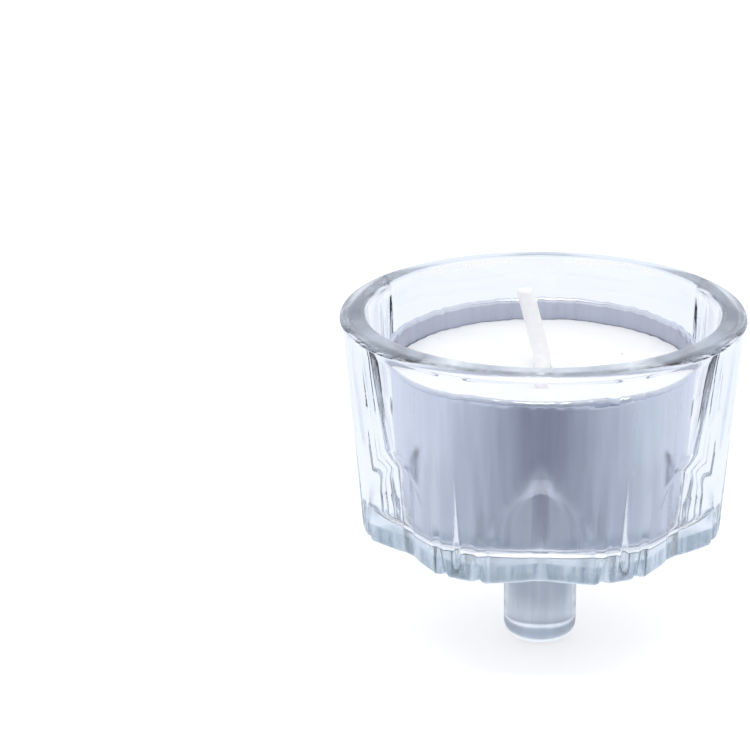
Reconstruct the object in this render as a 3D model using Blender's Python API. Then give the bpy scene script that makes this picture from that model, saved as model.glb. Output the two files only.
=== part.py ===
"""Pressed-glass tealight holder with a candlestick peg, and the tealight that stands in it.

Five separate pieces: the glass, and the tealight's aluminium cup, wax, wick and wick sustainer.
Lengths are millimetres until they reach the mesh. +Z is up, the origin is on the peg's axis at
the cup's underside, and the front of the object faces -Y.
"""
import math

import bpy

MM = 0.001
GAP = 0.3

# Glass body: a cone that flares a little below the rim, with seven panels cut into it and a rib
# between each pair. The panels fade out under the rim.
PANEL_COUNT = 7
BASE_RADIUS = 22.6
WALL_TOP_RADIUS = 25.1
RIM_RADIUS = 25.3
RIM_HEIGHT = 28.1
RIM_WALL = 3.25
RIM_OUTER_ROUNDING = 1.3
RIM_INNER_ROUNDING = 0.6
FLARE_BOTTOM = 26.0
BAND_BOTTOM = 27.1
PANEL_TOP = 26.5
WALL_MIDDLE = 19.5
BASE_ROUNDING = 0.45
PANEL_HALF_DEG = 17.0
PANEL_TOP_HALF_DEG = 22.0
PANEL_WIDENS_FROM = 9.0
GROOVE_DEG = 19.8
GROOVE_DEPTH = 0.8
GROOVE_TOP = 22.0
NOTCH_TOP = 5.0
NOTCH_SHARE = 0.7
RIB_HALF_DEG = 3.6
RIB_CREASE_DEPTH = 0.9
RIB_CREASE_DEG = 1.9
RIB_CREASE_TOP = 14.0

# A flute runs up each panel from the base: a shallow V with a flat bottom, closed by a sloping arch.
FLUTE_APEX = 14.2
FLUTE_FOOT = 6.2
FLUTE_HALF_WIDTH = 6.6
FLUTE_EDGE_DEPTH = 0.05
FLUTE_MIDDLE_DEPTH = 1.2
FLUTE_BASE_DEPTH = 1.1
FLUTE_SIDE_CURVE = 0.6
FLUTE_ROOF = 2.4
FLUTE_ROOF_START = 0.35
FLUTE_BAR = 1.2

# Cavity and peg.
FLOOR_THICKNESS = 2.5
CAVITY_FLOOR_RADIUS = 19.3
CAVITY_CORNER = 1.5
PEG_RADIUS = 4.6
PEG_LENGTH = 15.7
PEG_ROUNDING = 2.1

# Tealight cup, standing on the cavity floor.
CUP_BOTTOM = FLOOR_THICKNESS + GAP
CUP_TOP = 23.5
CUP_BASE_RADIUS = 18.0
CUP_MOUTH_RADIUS = 19.0
CUP_LIP_RADIUS = 19.5
CUP_LIP_HEIGHT = 0.9
CUP_SHEET = 0.35
CUP_CORNER = 0.8

# Wax, with a straight hole for the wick and a pocket over the sustainer.
WAX_DROP = 2.65
WAX_TOP = CUP_TOP - WAX_DROP
WAX_EDGE = 0.4

# Wick sustainer: a round plate with a neck that grips the wick.
PLATE_RADIUS = 6.5
PLATE_THICKNESS = 0.4
NECK_RADIUS = 1.9
NECK_HEIGHT = 3.4

# Wick: straight in the wax, leaning towards -X above it.
WICK_RADIUS = 1.1
WICK_LENGTH_ABOVE_WAX = 10.1
WICK_LEAN_DEG = 14.0

ROUND_SEGMENTS = 72


def clear_scene():
    for obj in list(bpy.data.objects):
        bpy.data.objects.remove(obj, do_unlink=True)


def material(name, colour, roughness, metallic=0.0, transmission=0.0):
    mat = bpy.data.materials.new(name)
    mat.use_nodes = True
    shader = mat.node_tree.nodes["Principled BSDF"]
    shader.inputs["Base Color"].default_value = (*colour, 1.0)
    shader.inputs["Roughness"].default_value = roughness
    shader.inputs["Metallic"].default_value = metallic
    shader.inputs["Transmission Weight"].default_value = transmission
    return mat


def loft(name, rings, mat):
    """One closed body through rings of points in order, each end closed to its ring's centre."""
    count = len(rings[0])
    points = [point for ring in rings for point in ring]
    faces = []
    for row in range(len(rings) - 1):
        low = row * count
        high = low + count
        for i in range(count):
            j = (i + 1) % count
            faces.append((low + i, low + j, high + j, high + i))
    for row, backwards in ((0, True), (len(rings) - 1, False)):
        ring = rings[row]
        centre = tuple(sum(p[k] for p in ring) / count for k in range(3))
        points.append(centre)
        hub = len(points) - 1
        for i in range(count):
            j = (i + 1) % count
            pair = (row * count + j, row * count + i) if backwards else (row * count + i, row * count + j)
            faces.append((*pair, hub))
    return mesh_object(name, points, faces, mat)


def mesh_object(name, points, faces, mat):
    mesh = bpy.data.meshes.new(name)
    mesh.from_pydata([tuple(c * MM for c in p) for p in points], [], faces)
    mesh.materials.append(mat)
    mesh.shade_smooth()
    mesh.set_sharp_from_angle(angle=math.radians(35))
    obj = bpy.data.objects.new(name, mesh)
    bpy.context.collection.objects.link(obj)
    return obj


def ring(radius, z, angles):
    """Points round the Z axis. Angle 0 is the front, -Y, and angles grow towards +X."""
    points = []
    for angle in angles:
        r = radius(angle) if callable(radius) else radius
        points.append((r * math.sin(angle), -r * math.cos(angle), z))
    return points


def even_angles(count):
    return [math.tau * i / count for i in range(count)]


def arc(centre_r, centre_z, radius_r, radius_z, start_deg, end_deg, steps):
    """Profile points (radius, height) on an arc, both ends included."""
    points = []
    for i in range(steps + 1):
        angle = math.radians(start_deg + (end_deg - start_deg) * i / steps)
        points.append((centre_r + radius_r * math.cos(angle), centre_z + radius_z * math.sin(angle)))
    return points


def turned(name, profile, mat):
    """A turned body from (radius, height) points that run from the axis, round, and back to it."""
    angles = even_angles(ROUND_SEGMENTS)
    return loft(name, [ring(r, z, angles) for r, z in profile], mat)


# ---- glass ----

def fade(x, low, high):
    """Nothing below low, one above high, and smooth between them."""
    t = min(max((x - low) / (high - low), 0.0), 1.0)
    return t * t * (3.0 - 2.0 * t)


def body_radius(z):
    """Radius of the cone, with the slight flare below the rim."""
    cone = BASE_RADIUS + (WALL_TOP_RADIUS - BASE_RADIUS) * max(z, 0.0) / RIM_HEIGHT
    return cone + (RIM_RADIUS - WALL_TOP_RADIUS) * fade(z, FLARE_BOTTOM, BAND_BOTTOM)


def glass_angles():
    """Angles round the glass, closer together at the grooves beside each rib and its crease."""
    pitch = 360.0 / PANEL_COUNT
    half_pitch = pitch / 2
    flute_bar_deg = math.degrees(FLUTE_BAR / BASE_RADIUS)
    panel_steps = 5
    local = [0.0]
    local += [flute_bar_deg + (PANEL_HALF_DEG - flute_bar_deg) * i / panel_steps
              for i in range(panel_steps + 1)]
    local += [GROOVE_DEG - 1.4, GROOVE_DEG, half_pitch - RIB_HALF_DEG, half_pitch - RIB_CREASE_DEG]
    one_pitch = [-a for a in reversed(local[1:])] + local + [half_pitch]
    return [math.radians(pitch * k + a) for k in range(PANEL_COUNT) for a in one_pitch]


def from_panel_centre(angle):
    """Angle in degrees from the middle of the nearest panel."""
    pitch = 360.0 / PANEL_COUNT
    degrees = math.degrees(angle)
    return abs((degrees + pitch / 2) % pitch - pitch / 2)


def flute_depth(across, z):
    """Depth of the flute at a distance across the panel from its middle."""
    bow = (FLUTE_APEX - FLUTE_FOOT) / FLUTE_HALF_WIDTH ** 2
    below_arch = FLUTE_APEX - bow * across * across - z
    if below_arch <= 0.0 or across >= FLUTE_HALF_WIDTH:
        return 0.0
    inside = below_arch / math.hypot(1.0, 2.0 * bow * across) / FLUTE_ROOF
    side = max(across - FLUTE_BAR, 0.0) / (FLUTE_HALF_WIDTH - FLUTE_BAR)
    middle = FLUTE_BASE_DEPTH + (FLUTE_MIDDLE_DEPTH - FLUTE_BASE_DEPTH) * fade(z, 0.0, FLUTE_FOOT)
    roof = FLUTE_MIDDLE_DEPTH * inside * (FLUTE_ROOF_START + (1.0 - FLUTE_ROOF_START) * inside)
    return min(middle + (FLUTE_EDGE_DEPTH - middle) * side ** FLUTE_SIDE_CURVE, roof)


def rib_crease(from_rib, z):
    """Depth of the V crease down the middle of a rib, which starts above the thick base."""
    across = max(1.0 - from_rib / RIB_CREASE_DEG, 0.0)
    upward = max(1.0 - z / RIB_CREASE_TOP, 0.0)
    return RIB_CREASE_DEPTH * across * upward * fade(z, BASE_ROUNDING, FLOOR_THICKNESS)


def panel_cut(angle, z):
    """How far the surface lies inside the cone, before the cut fades out under the rim."""
    local = from_panel_centre(angle)
    cone = body_radius(z)
    flat = cone * math.cos(math.radians(PANEL_HALF_DEG))
    widening = min(max(z - PANEL_WIDENS_FROM, 0.0) / (PANEL_TOP - PANEL_WIDENS_FROM), 1.0)
    half = PANEL_HALF_DEG + (PANEL_TOP_HALF_DEG - PANEL_HALF_DEG) * widening
    cut = (cone - flat) * max(1.0 - (local / half) ** 2, 0.0)
    if local <= PANEL_HALF_DEG:
        return cut + flute_depth(flat * math.tan(math.radians(local)), z)
    rib_middle = 180.0 / PANEL_COUNT
    rib_edge = rib_middle - RIB_HALF_DEG
    if local >= rib_edge:
        return cut + rib_crease(rib_middle - local, z)
    side = PANEL_HALF_DEG if local < GROOVE_DEG else rib_edge
    slot = (1.0 - NOTCH_SHARE) * max(1.0 - z / GROOVE_TOP, 0.0) ** 2
    notch = NOTCH_SHARE * max(1.0 - z / NOTCH_TOP, 0.0) ** 2
    groove = GROOVE_DEPTH * (slot + notch)
    return max(cut, groove * abs(local - side) / abs(GROOVE_DEG - side))


def outer_radius(angle, z):
    return body_radius(z) - panel_cut(angle, z) * (1.0 - fade(z, PANEL_TOP, BAND_BOTTOM))


def glass_side_rings(angles):
    """The panelled side, from the rounded bottom edge to the rim."""
    rings = []
    for i in range(4):
        turn = math.radians(90.0 * i / 3)
        inset = BASE_ROUNDING * (1.0 - math.sin(turn))
        z = BASE_ROUNDING * (1.0 - math.cos(turn))
        rings.append(ring(lambda a, z=z, inset=inset: outer_radius(a, z) - inset, z, angles))
    heights = [FLOOR_THICKNESS, NOTCH_TOP, FLUTE_FOOT]
    arch_steps = 6
    heights += [FLUTE_FOOT + (FLUTE_APEX - FLUTE_FOOT) * i / arch_steps for i in range(1, arch_steps + 1)]
    heights += [WALL_MIDDLE, PANEL_TOP, (PANEL_TOP + BAND_BOTTOM) / 2]
    for z in heights:
        rings.append(ring(lambda a, z=z: outer_radius(a, z), z, angles))
    return rings


def glass_holder(mat):
    angles = glass_angles()
    peg_flat = PEG_RADIUS - PEG_ROUNDING
    peg = arc(peg_flat, PEG_ROUNDING - PEG_LENGTH, PEG_ROUNDING, PEG_ROUNDING, -90, 0, 5)
    peg.append((PEG_RADIUS, 0.0))
    rings = [ring(r, z, angles) for r, z in peg]
    rings += glass_side_rings(angles)
    outer = RIM_RADIUS - RIM_OUTER_ROUNDING
    inner = RIM_RADIUS - RIM_WALL + RIM_INNER_ROUNDING
    rim = arc(outer, BAND_BOTTOM, RIM_OUTER_ROUNDING, RIM_HEIGHT - BAND_BOTTOM, 0, 90, 4)
    rim += arc(inner, RIM_HEIGHT - RIM_INNER_ROUNDING, RIM_INNER_ROUNDING, RIM_INNER_ROUNDING, 90, 180, 3)
    corner_r = CAVITY_FLOOR_RADIUS - CAVITY_CORNER
    corner_z = FLOOR_THICKNESS + CAVITY_CORNER
    corner = arc(corner_r, corner_z, CAVITY_CORNER, CAVITY_CORNER, 0, -90, 5)
    rings += [ring(r, z, angles) for r, z in rim + corner]
    return loft("glass_holder", rings, mat)


# ---- tealight ----

def cup_radius(z):
    """Outer radius of the aluminium cup's side."""
    rise = (z - CUP_BOTTOM) / (CUP_TOP - CUP_BOTTOM)
    return CUP_BASE_RADIUS + (CUP_MOUTH_RADIUS - CUP_BASE_RADIUS) * rise


def tealight_cup(mat):
    lip_z = CUP_TOP - CUP_LIP_HEIGHT
    inside = cup_radius(lip_z) - CUP_SHEET
    lip_middle = (CUP_LIP_RADIUS + inside) / 2
    lip_half = (CUP_LIP_RADIUS - inside) / 2
    corner = arc(CUP_BASE_RADIUS - CUP_CORNER, CUP_BOTTOM + CUP_CORNER, CUP_CORNER, CUP_CORNER, -90, 0, 4)
    lip = arc(lip_middle, lip_z + CUP_LIP_HEIGHT / 2, lip_half, CUP_LIP_HEIGHT / 2, -60, 180, 8)
    inner = CUP_CORNER - CUP_SHEET
    floor = arc(CUP_BASE_RADIUS - CUP_CORNER, CUP_BOTTOM + CUP_CORNER, inner, inner, 0, -90, 4)
    profile = corner + [(cup_radius(lip_z), lip_z)] + lip + floor
    return turned("tealight_cup", profile, mat)


def candle_wax(mat):
    bottom = CUP_BOTTOM + CUP_SHEET + GAP
    clearance = CUP_SHEET + GAP
    pocket_z = bottom + PLATE_THICKNESS + GAP
    neck_z = bottom + PLATE_THICKNESS + NECK_HEIGHT + GAP
    hole = WICK_RADIUS + GAP
    profile = [
        (hole, neck_z),
        (NECK_RADIUS + GAP, neck_z),
        (NECK_RADIUS + GAP, pocket_z),
        (PLATE_RADIUS + GAP, pocket_z),
        (PLATE_RADIUS + GAP, bottom),
        (cup_radius(bottom) - clearance - WAX_EDGE, bottom),
        (cup_radius(bottom + WAX_EDGE) - clearance, bottom + WAX_EDGE),
        (cup_radius(WAX_TOP) - clearance, WAX_TOP),
        (hole, WAX_TOP),
    ]
    return turned_ring("candle_wax", profile, mat)


def turned_ring(name, profile, mat):
    """A turned body with a hole through it, from a closed loop of (radius, height) points."""
    angles = even_angles(ROUND_SEGMENTS)
    rows = [ring(r, z, angles) for r, z in profile]
    count = len(angles)
    points = [point for row in rows for point in row]
    faces = []
    for row in range(len(rows)):
        low = row * count
        high = (row + 1) % len(rows) * count
        for i in range(count):
            j = (i + 1) % count
            faces.append((low + i, low + j, high + j, high + i))
    return mesh_object(name, points, faces, mat)


def wick_sustainer(mat):
    bottom = CUP_BOTTOM + CUP_SHEET + GAP
    plate_z = bottom + PLATE_THICKNESS
    bore = WICK_RADIUS + GAP
    profile = [
        (PLATE_RADIUS, bottom),
        (PLATE_RADIUS, plate_z),
        (NECK_RADIUS, plate_z),
        (NECK_RADIUS, plate_z + NECK_HEIGHT),
        (bore, plate_z + NECK_HEIGHT),
        (bore, plate_z),
    ]
    return turned("wick_sustainer", profile, mat)


def wick(mat):
    """A round wick of stacked rings: upright to the wax's surface, then leaning."""
    foot = CUP_BOTTOM + CUP_SHEET + PLATE_THICKNESS + 2 * GAP
    lean = math.radians(WICK_LEAN_DEG)
    bend_steps = 4
    bend_length = 2.0
    straight = WICK_LENGTH_ABOVE_WAX - bend_length
    angles = even_angles(16)
    centres = [(0.0, foot, 0.0), (0.0, WAX_TOP - 0.5, 0.0)]
    x = 0.0
    z = WAX_TOP
    for i in range(1, bend_steps + 1):
        tilt = lean * i / bend_steps
        centres.append((x, z, tilt))
        x -= bend_length / bend_steps * math.sin(tilt)
        z += bend_length / bend_steps * math.cos(tilt)
    centres.append((x - straight * math.sin(lean), z + straight * math.cos(lean), lean))
    rings = []
    for cx, cz, tilt in centres:
        flat = ring(WICK_RADIUS, 0.0, angles)
        rings.append([(cx + px * math.cos(tilt), py, cz + px * math.sin(tilt)) for px, py, _ in flat])
    return loft("wick", rings, mat)


def build():
    clear_scene()
    glass_holder(material("glass", (0.86, 0.91, 0.94), 0.02, transmission=1.0))
    tealight_cup(material("aluminium", (0.62, 0.63, 0.70), 0.35, metallic=1.0))
    candle_wax(material("wax", (0.93, 0.93, 0.95), 0.45))
    wick_sustainer(material("steel", (0.55, 0.56, 0.58), 0.4, metallic=1.0))
    wick(material("cotton", (0.90, 0.90, 0.90), 0.7))


build()
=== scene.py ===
"""The looks of the pressed-glass tealight holder and its tealight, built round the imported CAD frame.

Metres throughout, +Z up, the front of the object faces -Y. Angles round the object are measured
from the front, growing towards +X. Each piece is a mesh made from a profile or an outline rule, and
each has a procedural material.
"""
import math

import bpy
from mathutils import Matrix, Vector, noise


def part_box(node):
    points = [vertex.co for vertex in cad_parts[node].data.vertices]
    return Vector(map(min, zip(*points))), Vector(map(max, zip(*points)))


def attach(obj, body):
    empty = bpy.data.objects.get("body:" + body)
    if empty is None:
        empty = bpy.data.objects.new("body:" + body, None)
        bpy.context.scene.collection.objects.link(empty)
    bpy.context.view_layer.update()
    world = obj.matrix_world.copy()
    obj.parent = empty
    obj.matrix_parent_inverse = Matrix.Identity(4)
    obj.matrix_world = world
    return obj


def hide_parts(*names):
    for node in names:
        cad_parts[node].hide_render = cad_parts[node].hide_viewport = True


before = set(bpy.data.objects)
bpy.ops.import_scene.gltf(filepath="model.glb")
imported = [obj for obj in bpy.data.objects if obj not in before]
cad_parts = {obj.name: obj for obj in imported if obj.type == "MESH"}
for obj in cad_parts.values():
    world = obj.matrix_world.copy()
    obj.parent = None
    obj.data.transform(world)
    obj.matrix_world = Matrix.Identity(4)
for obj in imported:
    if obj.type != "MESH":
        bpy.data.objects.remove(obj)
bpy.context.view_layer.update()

MM = 0.001

# Sizes that come from the frame.
glass_low, glass_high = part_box("glass_holder")
cup_low, cup_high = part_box("tealight_cup")
wax_low, wax_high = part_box("candle_wax")
wick_low, wick_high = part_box("wick")

# Glass outline: a cone with seven panels cut in it, a rib between each pair of panels. The visual
# stays just inside the CAD box.
BOX_MARGIN = 0.05 * MM
PANEL_COUNT = 7
PITCH_DEG = 360.0 / PANEL_COUNT
RIM_RADIUS = glass_high.x - BOX_MARGIN
RIM_HEIGHT = glass_high.z
BASE_RADIUS = 22.6 * MM
WALL_TOP_RADIUS = 25.1 * MM
FLARE_BOTTOM = 26.0 * MM
RIM_WALL = 3.25 * MM
RIM_OUTER_ROUNDING = 1.3 * MM
RIM_INNER_ROUNDING = 0.6 * MM
PANEL_TOP = 26.5 * MM
BAND_BOTTOM = 27.1 * MM
BASE_ROUNDING = 0.45 * MM
PANEL_HALF_DEG = 17.0
PANEL_TOP_HALF_DEG = 22.0
PANEL_WIDENS_FROM = 9.0 * MM
EDGE_SOFTNESS = 0.18 * MM

# A groove beside each rib: a shallow slot up the wall, with a notch cut in its foot.
GROOVE_DEG = 19.8
GROOVE_HALF_DEG = 2.4
GROOVE_DEPTH = 0.8 * MM
GROOVE_TOP = 22.0 * MM
NOTCH_TOP = 5.0 * MM
SLOT_SHARE = 0.3
NOTCH_SHARE = 0.7

# A crease down the middle of each rib.
RIB_CREASE_DEPTH = 0.9 * MM
RIB_CREASE_DEG = 1.9
RIB_CREASE_TOP = 14.0 * MM
RIB_CREASE_LEAST = 0.12

# A flute up each panel: a shallow V with a flat bar down its middle and an arched roof.
FLUTE_APEX = 14.2 * MM
FLUTE_FOOT = 6.2 * MM
FLUTE_HALF_WIDTH = 6.6 * MM
FLUTE_EDGE_DEPTH = 0.05 * MM
FLUTE_MIDDLE_DEPTH = 1.2 * MM
FLUTE_BASE_DEPTH = 1.1 * MM
FLUTE_SIDE_CURVE = 0.6
FLUTE_ROOF = 2.4 * MM
FLUTE_ROOF_START = 0.35
FLUTE_ROOF_SOFTNESS = 0.2 * MM
FLUTE_BAR = 1.2 * MM
FLUTE_BAR_SOFTNESS = 0.15 * MM
FLUTE_EDGE_FADE = 0.4 * MM

# Cavity and peg.
FLOOR_THICKNESS = 2.5 * MM
CAVITY_FLOOR_RADIUS = 19.3 * MM
CAVITY_CORNER = 1.5 * MM
PEG_RADIUS = 4.6 * MM
PEG_ROUNDING = 2.1 * MM
PEG_LENGTH = -glass_low.z
PEG_FILLET = 0.25 * MM

# Waviness of the pressed surfaces: the size of a wave, and how high it is.
NOISE_SHIFT = Vector((0.37, 0.21, 0.13))
WALL_WAVE = (5 * MM, 0.03 * MM)
CAVITY_WAVE = (6 * MM, 0.05 * MM)
RIM_WAVE = (3 * MM, 0.012 * MM)

# Tealight. The thin cup dips at the front, and its lip has one pinched fold with a crease below it.
CUP_BOTTOM = cup_low.z
CUP_TOP = cup_high.z
CUP_BASE_RADIUS = 18.0 * MM
CUP_MOUTH_RADIUS = 19.0 * MM
CUP_LIP_RADIUS = cup_high.x
CUP_SHEET = 0.14 * MM
CUP_CORNER = 0.8 * MM
CUP_LIP_ROUNDING = 0.38 * MM
CUP_DIP = 0.55 * MM
CUP_PROFILE_START = 0.3 * MM
DENT_DEPTH = 0.09 * MM
LIP_WOBBLE = 0.16 * MM
FOLD_DEG = 28.0
FOLD_HALF_DEG = 1.6
FOLD_INWARD = 0.25 * MM
FOLD_DROP = 0.40 * MM
CREASE_Z = CUP_TOP - 1.15 * MM
CREASE_HALF_HEIGHT = 0.16 * MM
CREASE_DEPTH = 0.45 * MM
WAX_TOP = wax_high.z
WAX_BOTTOM = wax_low.z
WICK_RADIUS = wick_high.y
WICK_LEAN_DEG = 14.0
WICK_BEND = 2.2 * MM
WICK_STRANDS = 3
WICK_TURNS = 7.0

# Looks of the glass and foil.
GLASS_IOR = 1.46
GLASS_TINT = (0.30, 0.62, 0.80)
GLASS_TINT_DENSITY = 3.5
RIM_SATIN = 0.30
BASE_SATIN = 0.18
# Painted shade: a darker grey that the foil material multiplies into the inside of the cup.
FOIL_INSIDE_SHADE = (0.66, 0.67, 0.72)

# The floor as the camera sees it: grey paint, and a glow that keeps the shadow faint.
FLOOR_GREY = 0.60
FLOOR_GLOW = 0.62

# The floor as the glass and foil see it, with soft round patches of painted shade and painted light on it:
# grey patches just behind and in front of the object are painted shade for its shadow and for the dim side
# where the camera stands, two fainter ones further out soften it, and a bright one under the front of the
# glass is a painted pool of light. For each patch: its middle, how far from the middle it starts to fade
# and where it ends, and its tone. Later patches lie on earlier ones.
FLOOR_TONE = (0.93, 0.98, 1.09)
FLOOR_SHADE_AND_LIGHT_PATCHES = (
    ((0.02, -0.15), 0.100, 0.200, (0.80, 0.86, 0.96)),
    ((0.0, 0.034), 0.018, 0.034, (0.36, 0.40, 0.49)),
    ((0.0, 0.068), 0.018, 0.045, (0.82, 0.90, 0.99)),
    ((0.001, -0.115), 0.036, 0.125, (0.25, 0.27, 0.36)),
    ((0.0, -0.020), 0.014, 0.024, (1.20, 1.24, 1.28)),
)

# The room as the glass and foil see it, level with the object.
ROOM_FRONT = (0.52, 0.56, 0.64)
ROOM_BACK = (0.93, 0.96, 1.0)
KEY_LIGHT_PLACE = (-0.01, -0.33, 0.66)
KEY_LIGHT_SIZE = (0.44, 0.10)
KEY_LIGHT_WATTS = 1.5
GLASS_BOUNCES = 24
METAL_BOUNCES = 8

# Camera: how far it stands from the middle of the cup's underside, and what it looks at.
CAMERA_DISTANCE = 0.400
CAMERA_ELEVATION_DEG = 21.8
CAMERA_AIM = Vector((-0.0209, 0.0, 0.0191))
CAMERA_ROLL_DEG = -0.46
FIELD_OF_VIEW_DEG = 13.59
SENSOR_MM = 36.0


def mesh_piece(name, points, faces, material, sharp_deg=None):
    """A smooth-shaded mesh, with hard edges kept where faces meet past the angle given."""
    mesh = bpy.data.meshes.new(name)
    mesh.from_pydata([tuple(p) for p in points], [], faces)
    mesh.materials.append(material)
    mesh.shade_smooth()
    if sharp_deg:
        mesh.set_sharp_from_angle(angle=math.radians(sharp_deg))
    mesh.validate()
    obj = bpy.data.objects.new(name, mesh)
    bpy.context.collection.objects.link(obj)
    return obj


def loft(name, rings, material):
    """One closed body through rings of points in order, each end closed to its ring's centre."""
    count = len(rings[0])
    points = [Vector(p) for ring_points in rings for p in ring_points]
    faces = []
    for row in range(len(rings) - 1):
        low = row * count
        high = low + count
        for i in range(count):
            j = (i + 1) % count
            faces.append((low + i, low + j, high + j, high + i))
    last = (len(rings) - 1) * count
    for start, flip in ((0, True), (last, False)):
        hub = sum((points[start + i] for i in range(count)), Vector()) / count
        points.append(hub)
        top = len(points) - 1
        for i in range(count):
            j = (i + 1) % count
            pair = (start + j, start + i) if flip else (start + i, start + j)
            faces.append((*pair, top))
    return mesh_piece(name, points, faces, material)


def polar(radius, angle, z):
    """A point at an angle from the front."""
    return Vector((radius * math.sin(angle), -radius * math.cos(angle), z))


def arc(centre_r, centre_z, radius_r, radius_z, start_deg, end_deg, steps):
    """Profile points (radius, height) along an arc, both ends included."""
    points = []
    for i in range(steps + 1):
        angle = math.radians(start_deg + (end_deg - start_deg) * i / steps)
        points.append((centre_r + radius_r * math.cos(angle), centre_z + radius_z * math.sin(angle)))
    return points


def line(start, end, steps):
    """Profile points from start up to, but not including, end."""
    return [(start[0] + (end[0] - start[0]) * i / steps, start[1] + (end[1] - start[1]) * i / steps)
            for i in range(steps)]


def even_angles(count):
    return [math.tau * i / count for i in range(count)]


def smooth_max(a, b, softness):
    """The larger of two lengths, with a rounded change from one to the other."""
    gap = max(softness - abs(a - b), 0.0) / softness
    return max(a, b) + gap * gap * softness / 4


def smooth_step(x, low, high):
    t = min(max((x - low) / (high - low), 0.0), 1.0)
    return t * t * (3 - 2 * t)


# ---- glass ----

def body_radius(z):
    """Radius of the plain cone, with the slight flare below the rim."""
    cone = BASE_RADIUS + (WALL_TOP_RADIUS - BASE_RADIUS) * max(z, 0.0) / RIM_HEIGHT
    flare = smooth_step(z, FLARE_BOTTOM, BAND_BOTTOM)
    return cone + (RIM_RADIUS - WALL_TOP_RADIUS) * flare


def flute_depth(across, z):
    """Depth of a panel's flute: a shallow V with a flat bottom, closed at the top by a sloping arch."""
    bow = (FLUTE_APEX - FLUTE_FOOT) / FLUTE_HALF_WIDTH ** 2
    below = FLUTE_APEX - bow * across * across - z
    if below <= 0 or across >= FLUTE_HALF_WIDTH:
        return 0.0
    inside = below / math.hypot(1.0, 2 * bow * across)
    side = smooth_max(across - FLUTE_BAR, 0.0, FLUTE_BAR_SOFTNESS) / (FLUTE_HALF_WIDTH - FLUTE_BAR)
    middle = FLUTE_BASE_DEPTH + (FLUTE_MIDDLE_DEPTH - FLUTE_BASE_DEPTH) * smooth_step(z, 0.0, FLUTE_FOOT)
    depth = middle + (FLUTE_EDGE_DEPTH - middle) * side ** FLUTE_SIDE_CURVE
    share = inside / FLUTE_ROOF
    roof = FLUTE_MIDDLE_DEPTH * share * (FLUTE_ROOF_START + (1.0 - FLUTE_ROOF_START) * share)
    at_edge = smooth_step(FLUTE_HALF_WIDTH - across, 0.0, FLUTE_EDGE_FADE)
    return -smooth_max(-depth, -roof, FLUTE_ROOF_SOFTNESS) * at_edge


def rib_crease(from_rib, z):
    """Depth of the V crease down the middle of a rib, narrowing upwards to nothing."""
    width = RIB_CREASE_DEG * max(1.0 - z / RIB_CREASE_TOP, RIB_CREASE_LEAST)
    if from_rib >= width:
        return 0.0
    foot = smooth_step(z, MM, FLOOR_THICKNESS)
    head = 1.0 - smooth_step(z, RIB_CREASE_TOP - 2 * MM, RIB_CREASE_TOP)
    return RIB_CREASE_DEPTH * (width - from_rib) / RIB_CREASE_DEG * foot * head


def groove_depth(off, z):
    """Depth of the groove beside a rib; off is 0 in its middle and 1 at its edge."""
    slot = SLOT_SHARE * max(1.0 - z / GROOVE_TOP, 0.0) ** 2
    notch = NOTCH_SHARE * max(1.0 - z / NOTCH_TOP, 0.0) ** 2
    return GROOVE_DEPTH * (slot + notch) * (0.5 + 0.5 * math.cos(math.pi * off))


def panel_cut(angle, z):
    """How far the moulded surface lies inside the cone."""
    degrees = math.degrees(angle)
    local = abs((degrees + PITCH_DEG / 2) % PITCH_DEG - PITCH_DEG / 2)
    cone = body_radius(z)
    flat = cone * math.cos(math.radians(PANEL_HALF_DEG))
    widening = max(z - PANEL_WIDENS_FROM, 0.0) / (PANEL_TOP - PANEL_WIDENS_FROM)
    half = PANEL_HALF_DEG + (PANEL_TOP_HALF_DEG - PANEL_HALF_DEG) * min(widening, 1.0)
    chord = (cone - flat) * (1.0 - (local / half) ** 2)
    cut = smooth_max(chord, 0.0, EDGE_SOFTNESS)
    if local < PANEL_HALF_DEG + 1.0:
        across = flat * math.tan(math.radians(local))
        cut += flute_depth(across, z) * (1.0 - smooth_step(local, PANEL_HALF_DEG - 1.0, PANEL_HALF_DEG))
    off = abs(local - GROOVE_DEG) / GROOVE_HALF_DEG
    if off < 1.0:
        cut = smooth_max(cut, groove_depth(off, z), EDGE_SOFTNESS)
    return cut + rib_crease(PITCH_DEG / 2 - local, z)


def outer_radius(angle, z):
    fade = 1.0 - smooth_step(z, PANEL_TOP, BAND_BOTTOM)
    return body_radius(z) - panel_cut(angle, z) * fade


def glass_angles():
    """Angles round the glass, close together at the flute's bar, the panel's edge and the rib's crease."""
    bar = [0.0, 1.2, 2.2, 2.6, 3.0, 3.4, 3.8]
    flute = [4.8 + i * 1.15 for i in range(9)]
    edge_and_groove = [15.0 + i * 0.42 for i in range(18)]
    rib = [22.7, 23.4, 24.0, 24.4, 24.8, 25.2, 25.5]
    half = bar + flute + edge_and_groove + rib
    local = [-a for a in reversed(half[1:])] + half + [PITCH_DEG / 2]
    return [math.radians(PITCH_DEG * k + a) for k in range(PANEL_COUNT) for a in local]


def ripple(point, size, height):
    """Slight waviness of a surface at a point, from the size and height of its waves."""
    return height * noise.noise(point / size + NOISE_SHIFT, noise_basis="PERLIN_NEW")


def wavy_ring(radius, z, angles, size, height):
    """A ring of points whose radius waves a little; radius is a length or a rule for each angle."""
    points = []
    for angle in angles:
        r = radius(angle) if callable(radius) else radius
        points.append(polar(r + ripple(polar(r, angle, z), size, height), angle, z))
    return points


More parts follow.
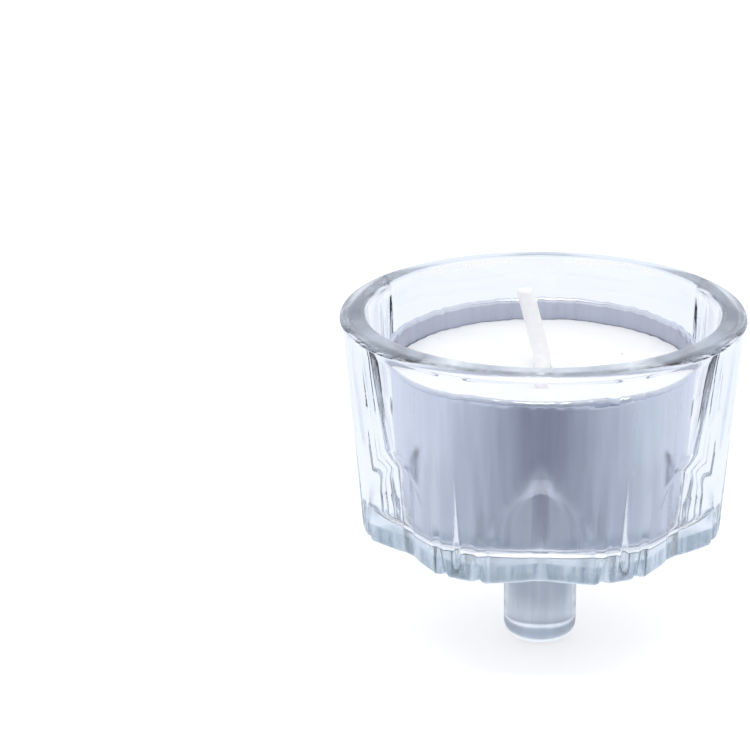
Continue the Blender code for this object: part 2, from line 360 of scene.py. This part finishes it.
def glass_side_rings(angles):
    """The panelled side, from its rounded bottom edge to the band under the rim."""
    rings = []
    rounding_steps = 6
    for i in range(rounding_steps):
        turn = math.radians(90.0 * i / rounding_steps)
        inset = BASE_ROUNDING * (1.0 - math.sin(turn))
        z = BASE_ROUNDING * (1.0 - math.cos(turn))
        rings.append([polar(outer_radius(a, z) - inset, a, z) for a in angles])
    stops = [(BASE_ROUNDING, FLUTE_FOOT - MM, 14), (FLUTE_FOOT - MM, FLUTE_APEX + 0.3 * MM, 64),
             (FLUTE_APEX + 0.3 * MM, PANEL_TOP, 10), (PANEL_TOP, BAND_BOTTOM, 12)]
    heights = [low + (high - low) * i / steps for low, high, steps in stops for i in range(steps)]
    size, height = WALL_WAVE
    for z in heights:
        wave = height * smooth_step(z, BASE_ROUNDING, 3 * BASE_ROUNDING)
        rings.append(wavy_ring(lambda a, z=z: outer_radius(a, z), z, angles, size, wave))
    return rings


def rim_profile():
    """Rounded outer corner, nearly flat top and tighter inner corner of the rim."""
    top = RIM_HEIGHT - BOX_MARGIN
    outer = RIM_RADIUS - RIM_OUTER_ROUNDING
    inner = RIM_RADIUS - RIM_WALL + RIM_INNER_ROUNDING
    drop = top - BAND_BOTTOM
    points = arc(outer, BAND_BOTTOM, RIM_OUTER_ROUNDING, drop, 0, 88, 16)
    points += line((outer, top), (inner, top), 10)[1:]
    points += arc(inner, top - RIM_INNER_ROUNDING, RIM_INNER_ROUNDING, RIM_INNER_ROUNDING, 90, 180, 8)
    return points


def peg_rings(angles):
    """The peg, from the middle of its end up to the fillet where it meets the underside."""
    flat = PEG_RADIUS - PEG_ROUNDING
    side_bottom = PEG_ROUNDING - PEG_LENGTH
    profile = line((flat * 0.1, -PEG_LENGTH), (flat, -PEG_LENGTH), 6)
    profile += arc(flat, side_bottom, PEG_ROUNDING, PEG_ROUNDING, -90, 0, 12)
    profile += line((PEG_RADIUS, side_bottom + 0.2 * MM), (PEG_RADIUS, -PEG_FILLET), 14)
    profile += arc(PEG_RADIUS + PEG_FILLET, -PEG_FILLET, PEG_FILLET, PEG_FILLET, 180, 90, 4)
    return [[polar(r, a, z) for a in angles] for r, z in profile]


def underside_rings(angles):
    """The flat underside, from the peg's fillet out to the rounded bottom edge."""
    start = PEG_RADIUS + PEG_FILLET
    steps = 8
    rings = []
    for i in range(1, steps):
        share = i / steps
        rings.append([polar(start + (outer_radius(a, 0.0) - BASE_ROUNDING - start) * share, a, 0.0)
                      for a in angles])
    return rings


def cavity_rings(angles):
    """The inside of the glass, from the rim down the wall and across the floor."""
    corner_r = CAVITY_FLOOR_RADIUS - CAVITY_CORNER
    corner_z = FLOOR_THICKNESS + CAVITY_CORNER
    wall_top = RIM_HEIGHT - RIM_INNER_ROUNDING - BOX_MARGIN
    wall = line((RIM_RADIUS - RIM_WALL, wall_top), (CAVITY_FLOOR_RADIUS, corner_z), 24)[1:]
    rings = [wavy_ring(r, z, angles, *CAVITY_WAVE) for r, z in wall]
    corner = arc(corner_r, corner_z, CAVITY_CORNER, CAVITY_CORNER, 0, -90, 10)
    floor = line((corner_r, FLOOR_THICKNESS), (0.2 * MM, FLOOR_THICKNESS), 10)[1:]
    return rings + [[polar(r, a, z) for a in angles] for r, z in corner + floor]


def glass_holder(material):
    angles = glass_angles()
    rings = peg_rings(angles) + underside_rings(angles) + glass_side_rings(angles)
    for r, z in rim_profile():
        rings.append([polar(r, a, z + ripple(polar(r, a, z), *RIM_WAVE)) for a in angles])
    rings += cavity_rings(angles)
    return loft("glass_holder_pressed", rings, material)


# ---- tealight ----

def cup_radius(z):
    rise = (z - CUP_BOTTOM) / (CUP_TOP - CUP_BOTTOM)
    return CUP_BASE_RADIUS + (CUP_MOUTH_RADIUS - CUP_BASE_RADIUS) * rise


def front_dip(y, z):
    """The thin foil cup leans a touch, so its lip and the wax lie lower at the front."""
    share = max(z - CUP_BOTTOM, 0.0) / (CUP_TOP - CUP_BOTTOM)
    return CUP_DIP * share * (0.5 - 0.5 * y / CUP_LIP_RADIUS)


def cup_profile():
    """The foil cup's outside, rolled lip and inside, and where in the profile the inside starts."""
    lip_z = CUP_TOP - CUP_LIP_ROUNDING
    inner_corner = CUP_CORNER - CUP_SHEET
    centre_r = CUP_BASE_RADIUS - CUP_CORNER
    centre_z = CUP_BOTTOM + CUP_CORNER
    side_bottom = centre_z + 0.2 * MM
    side_top = lip_z - CUP_LIP_ROUNDING
    lip_centre = CUP_LIP_RADIUS - CUP_LIP_ROUNDING
    fine_from = side_top - 1.6 * MM
    profile = line((CUP_PROFILE_START, CUP_BOTTOM), (centre_r, CUP_BOTTOM), 8)
    profile += arc(centre_r, centre_z, CUP_CORNER, CUP_CORNER, -90, 0, 8)
    profile += line((CUP_BASE_RADIUS, side_bottom), (cup_radius(fine_from), fine_from), 22)
    profile += line((cup_radius(fine_from), fine_from), (cup_radius(side_top), side_top), 16)
    profile += arc(lip_centre, lip_z, CUP_LIP_ROUNDING, CUP_LIP_ROUNDING, -120, 180, 18)
    inner_start = len(profile)
    inside = cup_radius(side_top) - CUP_SHEET
    inner_floor = CUP_BOTTOM + CUP_SHEET
    profile += line((inside, lip_z - 0.3 * MM), (CUP_BASE_RADIUS - CUP_SHEET, side_bottom), 24)
    profile += arc(centre_r, centre_z, inner_corner, inner_corner, 0, -90, 8)
    profile += line((centre_r, inner_floor), (CUP_PROFILE_START, inner_floor), 8)[1:]
    return profile, inner_start


def cup_point(r, z, angle):
    """A point of the foil cup, with its dents, wobbly lip, fold and crease."""
    degrees = math.degrees(angle)
    across, along = math.sin(angle), math.cos(angle)
    dent = ripple(Vector((across * 3, along * 3, z / (9 * MM))), 1.0, DENT_DEPTH)
    dent *= smooth_step(r, 0.7 * CUP_BASE_RADIUS, CUP_BASE_RADIUS)
    crease = smooth_step(degrees, FOLD_DEG - 9, FOLD_DEG - 6)
    crease *= 1.0 - smooth_step(degrees, FOLD_DEG - 1, FOLD_DEG + 1)
    crease *= math.exp(-((z - CREASE_Z) / CREASE_HALF_HEIGHT) ** 2)
    dent -= CREASE_DEPTH * crease
    near_lip = smooth_step(z, CUP_TOP - 1.4 * MM, CUP_TOP - 0.5 * MM)
    wobble = ripple(Vector((across * 16, along * 16, 0)), 1.0, LIP_WOBBLE) - 0.06 * MM
    fold = math.exp(-((degrees - FOLD_DEG) / FOLD_HALF_DEG) ** 2)
    radius = min(r + dent + near_lip * (wobble - FOLD_INWARD * fold), CUP_LIP_RADIUS)
    p = polar(radius, angle, z)
    p.z += near_lip * (wobble - FOLD_DROP * fold) - front_dip(p.y, z)
    return p


def tealight_cup(material):
    """The foil cup; inner_face marks the points of its inside, where the foil material paints shade."""
    angles = even_angles(240)
    profile, inner_start = cup_profile()
    rings = [[cup_point(r, z, a) for a in angles] for r, z in profile]
    cup = loft("tealight_cup_foil", rings, material)
    shade = cup.data.attributes.new("inner_face", "FLOAT", "POINT")
    for i, entry in enumerate(shade.data):
        entry.value = 1.0 if i // len(angles) >= inner_start else 0.0
    return cup


def closed_ring(name, profile, angles, material, shape):
    """A body with a hole through it, from a closed profile; shape places each of its points."""
    count = len(angles)
    points = [shape(r, z, a) for r, z in profile for a in angles]
    faces = []
    for row in range(len(profile)):
        low = row * count
        high = (row + 1) % len(profile) * count
        for i in range(count):
            j = (i + 1) % count
            faces.append((low + i, low + j, high + j, high + i))
    return mesh_piece(name, points, faces, material, 50)


def wax_surface(top_r, hole):
    """The wax's top from its edge inwards: a slight hollow that climbs a little up the wick."""
    steps = 40
    start = top_r - 0.2 * MM
    points = []
    for i in range(steps + 1):
        r = start + (hole - start) * i / steps
        hollow = 0.35 * MM * smooth_step(r, 0.7 * top_r, 0.0)
        climb = 0.3 * MM * smooth_step(r, 2.6 * MM, hole)
        points.append((r, WAX_TOP - 0.1 * MM - hollow + climb))
    return points


def candle_wax(material):
    """The wax slug, with a pocket under it for the sustainer and a hole for the wick."""
    sustainer_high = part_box("wick_sustainer")[1]
    hole = WICK_RADIUS + 0.05 * MM
    plate_r = sustainer_high.x + 0.2 * MM
    plate_z = WAX_BOTTOM + 0.6 * MM
    neck_r = 2.1 * MM
    neck_z = sustainer_high.z + 0.2 * MM
    gap = CUP_SHEET + 0.12 * MM
    side_bottom = WAX_BOTTOM + MM
    side_r = cup_radius(side_bottom) - gap
    top_r = cup_radius(WAX_TOP) - gap
    profile = [(hole, neck_z), (neck_r, neck_z), (neck_r, plate_z)]
    profile += [(plate_r, plate_z), (plate_r, WAX_BOTTOM)]
    profile += line((plate_r + 0.2 * MM, WAX_BOTTOM), (CUP_BASE_RADIUS - 1.2 * MM, WAX_BOTTOM), 6)
    profile += line((CUP_BASE_RADIUS - 0.9 * MM, WAX_BOTTOM), (side_r, side_bottom), 3)
    profile += line((side_r, side_bottom), (top_r, WAX_TOP - 0.5 * MM), 10)
    profile += [(top_r, WAX_TOP - 0.3 * MM), (top_r - 0.05 * MM, WAX_TOP - 0.12 * MM)]
    profile += wax_surface(top_r, hole)
    profile += line((hole, WAX_TOP - 0.6 * MM), (hole, neck_z), 4)

    def shape(r, z, angle):
        p = polar(r, angle, z)
        if z > WAX_TOP - MM:
            edge = smooth_step(r, top_r - 1.5 * MM, top_r)
            p.z += ripple(p, 4 * MM, 0.07 * MM) + edge * ripple(p, 1.1 * MM, 0.14 * MM) - 0.13 * MM
        p.z -= front_dip(p.y, z)
        return p

    return closed_ring("candle_wax_poured", profile, even_angles(180), material, shape)


def wick_centre(share):
    """Centre and tilt of the wick at a share of its length: upright in the wax, leaning above."""
    foot = wick_low.z
    lean = math.radians(WICK_LEAN_DEG)
    length = (WAX_TOP - foot) + (wick_high.z - WAX_TOP) / math.cos(lean) * 0.95
    along = length * share
    straight = WAX_TOP - 0.4 * MM - foot
    if along <= straight:
        return Vector((0, 0, foot + along)), 0.0
    over = along - straight
    tilt = lean * min(over / WICK_BEND, 1.0)
    curved = min(over, WICK_BEND)
    half_tilt = tilt / 2
    end = Vector((-curved * math.sin(half_tilt), 0, foot + straight + curved * math.cos(half_tilt)))
    rest = over - curved
    return end + Vector((-rest * math.sin(lean), 0, rest * math.cos(lean))), tilt


def wick(material):
    """The plaited wick, its end cut off at a slant."""
    steps = 220
    rings = []
    for i in range(steps + 1):
        share = i / steps
        centre, tilt = wick_centre(share)
        slant = -0.35 if i == steps else 0.0
        turn = WICK_TURNS * math.tau * share
        ring_points = []
        for a in even_angles(48):
            one_way = 0.5 + 0.5 * math.cos(WICK_STRANDS * (a + turn))
            other_way = 0.5 + 0.5 * math.cos(WICK_STRANDS * (a - turn))
            r = WICK_RADIUS * (0.93 + 0.04 * max(one_way, other_way))
            cut = slant * r * math.sin(a)
            r += ripple(centre + polar(r, a, 0), 0.7 * MM, 0.02 * MM)
            x = r * math.sin(a)
            y = -r * math.cos(a)
            ring_points.append(centre + Vector((x * math.cos(tilt), y, x * math.sin(tilt) + cut)))
        rings.append(ring_points)
    return loft("wick_waxed", rings, material)


# ---- materials ----

def new_material(name):
    """A node material, with its nodes, links and main shader."""
    mat = bpy.data.materials.new(name)
    mat.use_nodes = True
    nodes = mat.node_tree.nodes
    return mat, nodes, mat.node_tree.links, nodes["Principled BSDF"]


def noise_node(nodes, links, scale, detail=4.0, roughness=0.5, stretch=None):
    """Noise in the object's own coordinates, stretched along an axis where stretch says so."""
    coords = nodes.new("ShaderNodeTexCoord")
    texture = nodes.new("ShaderNodeTexNoise")
    texture.inputs["Scale"].default_value = scale
    texture.inputs["Detail"].default_value = detail
    texture.inputs["Roughness"].default_value = roughness
    if stretch:
        mapping = nodes.new("ShaderNodeMapping")
        mapping.inputs["Scale"].default_value = stretch
        links.new(coords.outputs["Object"], mapping.inputs["Vector"])
        links.new(mapping.outputs["Vector"], texture.inputs["Vector"])
    else:
        links.new(coords.outputs["Object"], texture.inputs["Vector"])
    return texture


def bump(nodes, links, texture, strength, distance):
    """Fine relief from a texture, as a normal."""
    node = nodes.new("ShaderNodeBump")
    node.inputs["Strength"].default_value = strength
    node.inputs["Distance"].default_value = distance
    links.new(texture.outputs[0], node.inputs["Height"])
    return node.outputs["Normal"]


def ramp(nodes, links, texture, stops):
    """Colours for a texture's values, from (value, colour) stops."""
    node = nodes.new("ShaderNodeValToRGB")
    node.color_ramp.elements[0].position = stops[0][0]
    node.color_ramp.elements[0].color = (*stops[0][1], 1)
    node.color_ramp.elements[1].position = stops[-1][0]
    node.color_ramp.elements[1].color = (*stops[-1][1], 1)
    for position, colour in stops[1:-1]:
        element = node.color_ramp.elements.new(position)
        element.color = (*colour, 1)
    links.new(texture.outputs[0], node.inputs["Fac"])
    return node


def height_in_object(nodes, links):
    coords = nodes.new("ShaderNodeTexCoord")
    parts = nodes.new("ShaderNodeSeparateXYZ")
    links.new(coords.outputs["Object"], parts.inputs["Vector"])
    return parts.outputs["Z"]


def map_range(nodes, links, value, start, end, to_start=0.0, to_end=1.0):
    """A value rescaled so that start to end becomes to_start to to_end, and held at both ends."""
    node = nodes.new("ShaderNodeMapRange")
    node.inputs["From Min"].default_value = start
    node.inputs["From Max"].default_value = end
    node.inputs["To Min"].default_value = to_start
    node.inputs["To Max"].default_value = to_end
    links.new(value, node.inputs["Value"])
    return node


def combine(nodes, links, operation, first, second):
    node = nodes.new("ShaderNodeMath")
    node.operation = operation
    links.new(first, node.inputs[0])
    links.new(second, node.inputs[1])
    return node.outputs[0]


def mix_colours(nodes, links, factor, first, second, blend="MIX"):
    """Two colours, each a plain value or a socket, mixed by a factor."""
    node = nodes.new("ShaderNodeMix")
    node.data_type = "RGBA"
    node.blend_type = blend
    links.new(factor, node.inputs["Factor"])
    for name, colour in (("A", first), ("B", second)):
        if isinstance(colour, tuple):
            node.inputs[name].default_value = (*colour, 1)
        else:
            links.new(colour, node.inputs[name])
    return node.outputs["Result"]


def base_tint(nodes, links):
    """Faint grey-green upright streaks in the side of the thick base and in the peg."""
    streaks = noise_node(nodes, links, 900.0, 3.0, 0.6, (1, 1, 0.12))
    tone = ramp(nodes, links, streaks, [(0.40, (0.32, 0.41, 0.47)), (0.60, (0.84, 0.88, 0.92))])
    height = map_range(nodes, links, height_in_object(nodes, links), -MM, 4 * MM)
    none, faint, full = (0, 0, 0), (0.25, 0.25, 0.25), (1, 1, 1)
    share = ramp(nodes, links, height, [(0.12, faint), (0.19, none), (0.23, none),
                                        (0.28, full), (0.68, full), (0.72, none)])
    return mix_colours(nodes, links, share.outputs["Color"], (1, 1, 1), tone.outputs["Color"])


def satin_ends(nodes, links):
    """Roughness of the pressed glass: clear on the wall, satin on the rim's top, the base and the peg."""
    streaks = noise_node(nodes, links, 700.0, 3.0, 0.6, (1, 1, 0.2))
    height = height_in_object(nodes, links)
    rim = map_range(nodes, links, height, RIM_HEIGHT - 0.9 * MM, RIM_HEIGHT - 0.3 * MM, 0.0, RIM_SATIN)
    base = map_range(nodes, links, height, FLOOR_THICKNESS + 0.3 * MM, FLOOR_THICKNESS - 0.6 * MM,
                     0.0, BASE_SATIN)
    uneven = map_range(nodes, links, streaks.outputs[0], 0.0, 1.0, 0.85, 1.1)
    total = combine(nodes, links, "ADD", rim.outputs[0], base.outputs[0])
    return combine(nodes, links, "MULTIPLY", total, uneven.outputs[0])


def glass_material():
    mat, nodes, links, shader = new_material("clear_pressed_glass")
    shader.inputs["Base Color"].default_value = (1, 1, 1, 1)
    shader.inputs["Transmission Weight"].default_value = 1.0
    shader.inputs["Roughness"].default_value = 0.0
    shader.inputs["IOR"].default_value = GLASS_IOR
    fine = noise_node(nodes, links, 350.0, 2.0)
    links.new(bump(nodes, links, fine, 0.06, 0.0001), shader.inputs["Normal"])
    links.new(satin_ends(nodes, links), shader.inputs["Roughness"])
    links.new(base_tint(nodes, links), shader.inputs["Base Color"])
    absorb = nodes.new("ShaderNodeVolumeAbsorption")
    absorb.inputs["Color"].default_value = (*GLASS_TINT, 1)
    absorb.inputs["Density"].default_value = GLASS_TINT_DENSITY
    links.new(absorb.outputs["Volume"], nodes["Material Output"].inputs["Volume"])
    return mat


def foil_material():
    mat, nodes, links, shader = new_material("drawn_aluminium_foil")
    shader.inputs["Metallic"].default_value = 1.0
    draw = noise_node(nodes, links, 900.0, 3.0, 0.6, (1, 1, 0.03))
    tone = ramp(nodes, links, draw, [(0.3, (0.66, 0.69, 0.77)), (0.7, (0.74, 0.77, 0.85))])
    side = nodes.new("ShaderNodeAttribute")
    side.attribute_name = "inner_face"
    # Painted shade: the inside of the cup is darkened by multiplying in a grey.
    tone_with_inside_shade = mix_colours(nodes, links, side.outputs["Fac"], tone.outputs["Color"], FOIL_INSIDE_SHADE, "MULTIPLY")
    links.new(tone_with_inside_shade, shader.inputs["Base Color"])
    rough = map_range(nodes, links, draw.outputs[0], 0.0, 1.0, 0.24, 0.34)
    links.new(rough.outputs["Result"], shader.inputs["Roughness"])
    links.new(bump(nodes, links, draw, 0.06, 0.0001), shader.inputs["Normal"])
    return mat


def speckled(nodes, links, colour):
    """The colour with a few tiny soot specks."""
    dust = noise_node(nodes, links, 1400.0, 0.0)
    speck = ramp(nodes, links, dust, [(0.86, (0.0, 0.0, 0.0)), (0.89, (0.8, 0.8, 0.8))])
    return mix_colours(nodes, links, speck.outputs["Color"], colour, (0.12, 0.12, 0.14))


def wax_material():
    mat, nodes, links, shader = new_material("white_paraffin_wax")
    mottled = noise_node(nodes, links, 180.0, 5.0, 0.6)
    tone = ramp(nodes, links, mottled, [(0.25, (0.95, 0.96, 0.97)), (0.6, (0.99, 0.99, 0.99))])
    links.new(speckled(nodes, links, tone.outputs["Color"]), shader.inputs["Base Color"])
    shader.inputs["Roughness"].default_value = 0.42
    shader.inputs["Subsurface Weight"].default_value = 0.35
    shader.inputs["Subsurface Radius"].default_value = (1.0, 0.9, 0.8)
    shader.inputs["Subsurface Scale"].default_value = 0.002
    links.new(bump(nodes, links, mottled, 0.25, 0.0003), shader.inputs["Normal"])
    return mat


def cotton_material():
    mat, nodes, links, shader = new_material("waxed_cotton_braid")
    fibres = noise_node(nodes, links, 2200.0, 4.0, 0.7, (1, 1, 0.3))
    tone = ramp(nodes, links, fibres, [(0.3, (0.95, 0.95, 0.94)), (0.65, (0.99, 0.99, 0.98))])
    links.new(tone.outputs["Color"], shader.inputs["Base Color"])
    shader.inputs["Roughness"].default_value = 0.5
    shader.inputs["Subsurface Weight"].default_value = 0.3
    shader.inputs["Subsurface Scale"].default_value = 0.001
    links.new(bump(nodes, links, fibres, 0.2, 0.0001), shader.inputs["Normal"])
    return mat


def steel_material():
    mat, nodes, links, shader = new_material("tinned_steel")
    shader.inputs["Metallic"].default_value = 1.0
    grain = noise_node(nodes, links, 1500.0, 3.0)
    tone = ramp(nodes, links, grain, [(0.3, (0.50, 0.51, 0.53)), (0.7, (0.64, 0.65, 0.67))])
    links.new(tone.outputs["Color"], shader.inputs["Base Color"])
    shader.inputs["Roughness"].default_value = 0.38
    links.new(bump(nodes, links, grain, 0.2, 0.0001), shader.inputs["Normal"])
    return mat


# ---- studio ----

def floor_material():
    """Pale to the eye. The glass and foil bend and mirror a glowing floor with soft patches of painted
    shade and painted light laid on it.
    """
    mat, nodes, links, shader = new_material("pale_floor")
    shader.inputs["Base Color"].default_value = (FLOOR_GREY, FLOOR_GREY, FLOOR_GREY, 1)
    shader.inputs["Roughness"].default_value = 0.9
    shader.inputs["Emission Color"].default_value = (1, 1, 1, 1)
    shader.inputs["Emission Strength"].default_value = FLOOR_GLOW
    shade = FLOOR_TONE
    # Each patch is painted shade or a painted pool of light, for every ray but the camera's.
    for centre, inner, outer, colour in FLOOR_SHADE_AND_LIGHT_PATCHES:
        off_patch = spot_shade(nodes, links, (*centre, glass_low.z), inner, outer)
        shade = mix_colours(nodes, links, off_patch, colour, shade)
    glow = nodes.new("ShaderNodeEmission")
    links.new(shade, glow.inputs["Color"])
    surface = nodes["Material Output"].inputs["Surface"]
    mix_by_ray(nodes, links, glow.outputs[0], shader.outputs[0], surface)
    return mat


def spot_shade(nodes, links, centre, inner, outer):
    """Nothing within the inner distance of a spot on the floor, rising to one past the outer."""
    place = nodes.new("ShaderNodeNewGeometry")
    distance = nodes.new("ShaderNodeVectorMath")
    distance.operation = "DISTANCE"
    distance.inputs[1].default_value = centre
    links.new(place.outputs["Position"], distance.inputs[0])
    fade = map_range(nodes, links, distance.outputs["Value"], inner, outer)
    fade.interpolation_type = "SMOOTHSTEP"
    return fade.outputs["Result"]


def mix_by_ray(nodes, links, bent, direct, target):
    """One look for rays that were bent or mirrored, another for those straight from the camera."""
    path = nodes.new("ShaderNodeLightPath")
    mix = nodes.new("ShaderNodeMixShader")
    links.new(path.outputs["Is Camera Ray"], mix.inputs["Fac"])
    links.new(bent, mix.inputs[1])
    links.new(direct, mix.inputs[2])
    links.new(mix.outputs[0], target)


def studio_floor():
    """A pale sweep: flat under the object, curving up behind it."""
    z = glass_low.z - 0.2 * MM
    half_width = 1.5
    front = -1.2
    back = 0.5
    bend = 0.4
    height = 1.5
    steps = 16
    profile = [(front, z), (back, z)]
    for i in range(1, steps + 1):
        turn = math.radians(90 * i / steps)
        profile.append((back + bend * math.sin(turn), z + bend * (1 - math.cos(turn))))
    profile.append((back + bend, z + height))
    points = [Vector((side * half_width, y, h)) for y, h in profile for side in (-1, 1)]
    faces = [(2 * i, 2 * i + 1, 2 * i + 3, 2 * i + 2) for i in range(len(profile) - 1)]
    return mesh_piece("studio_floor", points, faces, floor_material())


def area_light(name, place, target, size, power):
    """A rectangular soft light turned to face its target."""
    data = bpy.data.lights.new(name, "AREA")
    data.shape = "RECTANGLE"
    data.size, data.size_y = size
    data.energy = power
    obj = bpy.data.objects.new(name, data)
    bpy.context.collection.objects.link(obj)
    obj.location = place
    obj.rotation_mode = "QUATERNION"
    obj.rotation_quaternion = (Vector(target) - Vector(place)).to_track_quat("-Z", "Y")


def studio_world():
    """Pale behind and to the sides, white above, dim where the camera stands; plain white to the eye."""
    world = bpy.data.worlds.new("studio")
    bpy.context.scene.world = world
    world.use_nodes = True
    nodes, links = world.node_tree.nodes, world.node_tree.links
    room = nodes["Background"]
    coords = nodes.new("ShaderNodeTexCoord")
    parts = nodes.new("ShaderNodeSeparateXYZ")
    links.new(coords.outputs["Generated"], parts.inputs["Vector"])
    backwards = map_range(nodes, links, parts.outputs["Y"], -1.0, 0.1)
    tone = ramp(nodes, links, backwards, [(0.0, ROOM_FRONT), (1.0, ROOM_BACK)])
    tone.color_ramp.interpolation = "EASE"
    upwards = map_range(nodes, links, parts.outputs["Z"], 0.35, 0.75)
    colour = mix_colours(nodes, links, upwards.outputs["Result"], tone.outputs["Color"], (1, 1, 1))
    links.new(colour, room.inputs["Color"])
    room.inputs["Strength"].default_value = 1.0
    white = nodes.new("ShaderNodeBackground")
    white.inputs["Color"].default_value = (1, 1, 1, 1)
    surface = nodes["World Output"].inputs["Surface"]
    mix_by_ray(nodes, links, room.outputs[0], white.outputs[0], surface)


def camera():
    data = bpy.data.cameras.new("camera")
    obj = bpy.data.objects.new("camera", data)
    bpy.context.collection.objects.link(obj)
    tilt = math.radians(CAMERA_ELEVATION_DEG)
    obj.location = Vector((0, -math.cos(tilt), math.sin(tilt))) * CAMERA_DISTANCE
    look = (CAMERA_AIM - obj.location).to_track_quat("-Z", "Y").to_matrix()
    roll = Matrix.Rotation(math.radians(CAMERA_ROLL_DEG), 3, "Z")
    obj.rotation_mode = "QUATERNION"
    obj.rotation_quaternion = (look @ roll).to_quaternion()
    data.sensor_width = SENSOR_MM
    data.lens = SENSOR_MM / 2 / math.tan(math.radians(FIELD_OF_VIEW_DEG / 2))
    data.clip_start = 0.01
    data.clip_end = 20.0
    bpy.context.scene.camera = obj


def build_object():
    """Each visible piece rides on its CAD body; the sustainer is the CAD's own, in a better metal."""
    glass = glass_holder(glass_material())
    foil = tealight_cup(foil_material())
    wax = candle_wax(wax_material())
    cotton = wick(cotton_material())
    for piece, body, node, slot in (
        (glass, "holder", "glass_holder", "glass"),
        (foil, "tealight", "tealight_cup", "aluminium"),
        (wax, "candle", "candle_wax", "wax"),
        (cotton, "candle", "wick", "cotton"),
    ):
        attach(piece, body)
        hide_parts(node)
    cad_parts["wick_sustainer"].data.materials.clear()
    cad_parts["wick_sustainer"].data.materials.append(steel_material())


def build_studio():
    studio_floor()
    studio_world()
    area_light("key_softbox", KEY_LIGHT_PLACE, (0, 0, 0), KEY_LIGHT_SIZE, KEY_LIGHT_WATTS)
    camera()
    scene = bpy.context.scene
    scene.view_settings.view_transform = "Standard"
    scene.cycles.max_bounces = GLASS_BOUNCES
    scene.cycles.transmission_bounces = GLASS_BOUNCES
    scene.cycles.glossy_bounces = METAL_BOUNCES


build_object()
build_studio()
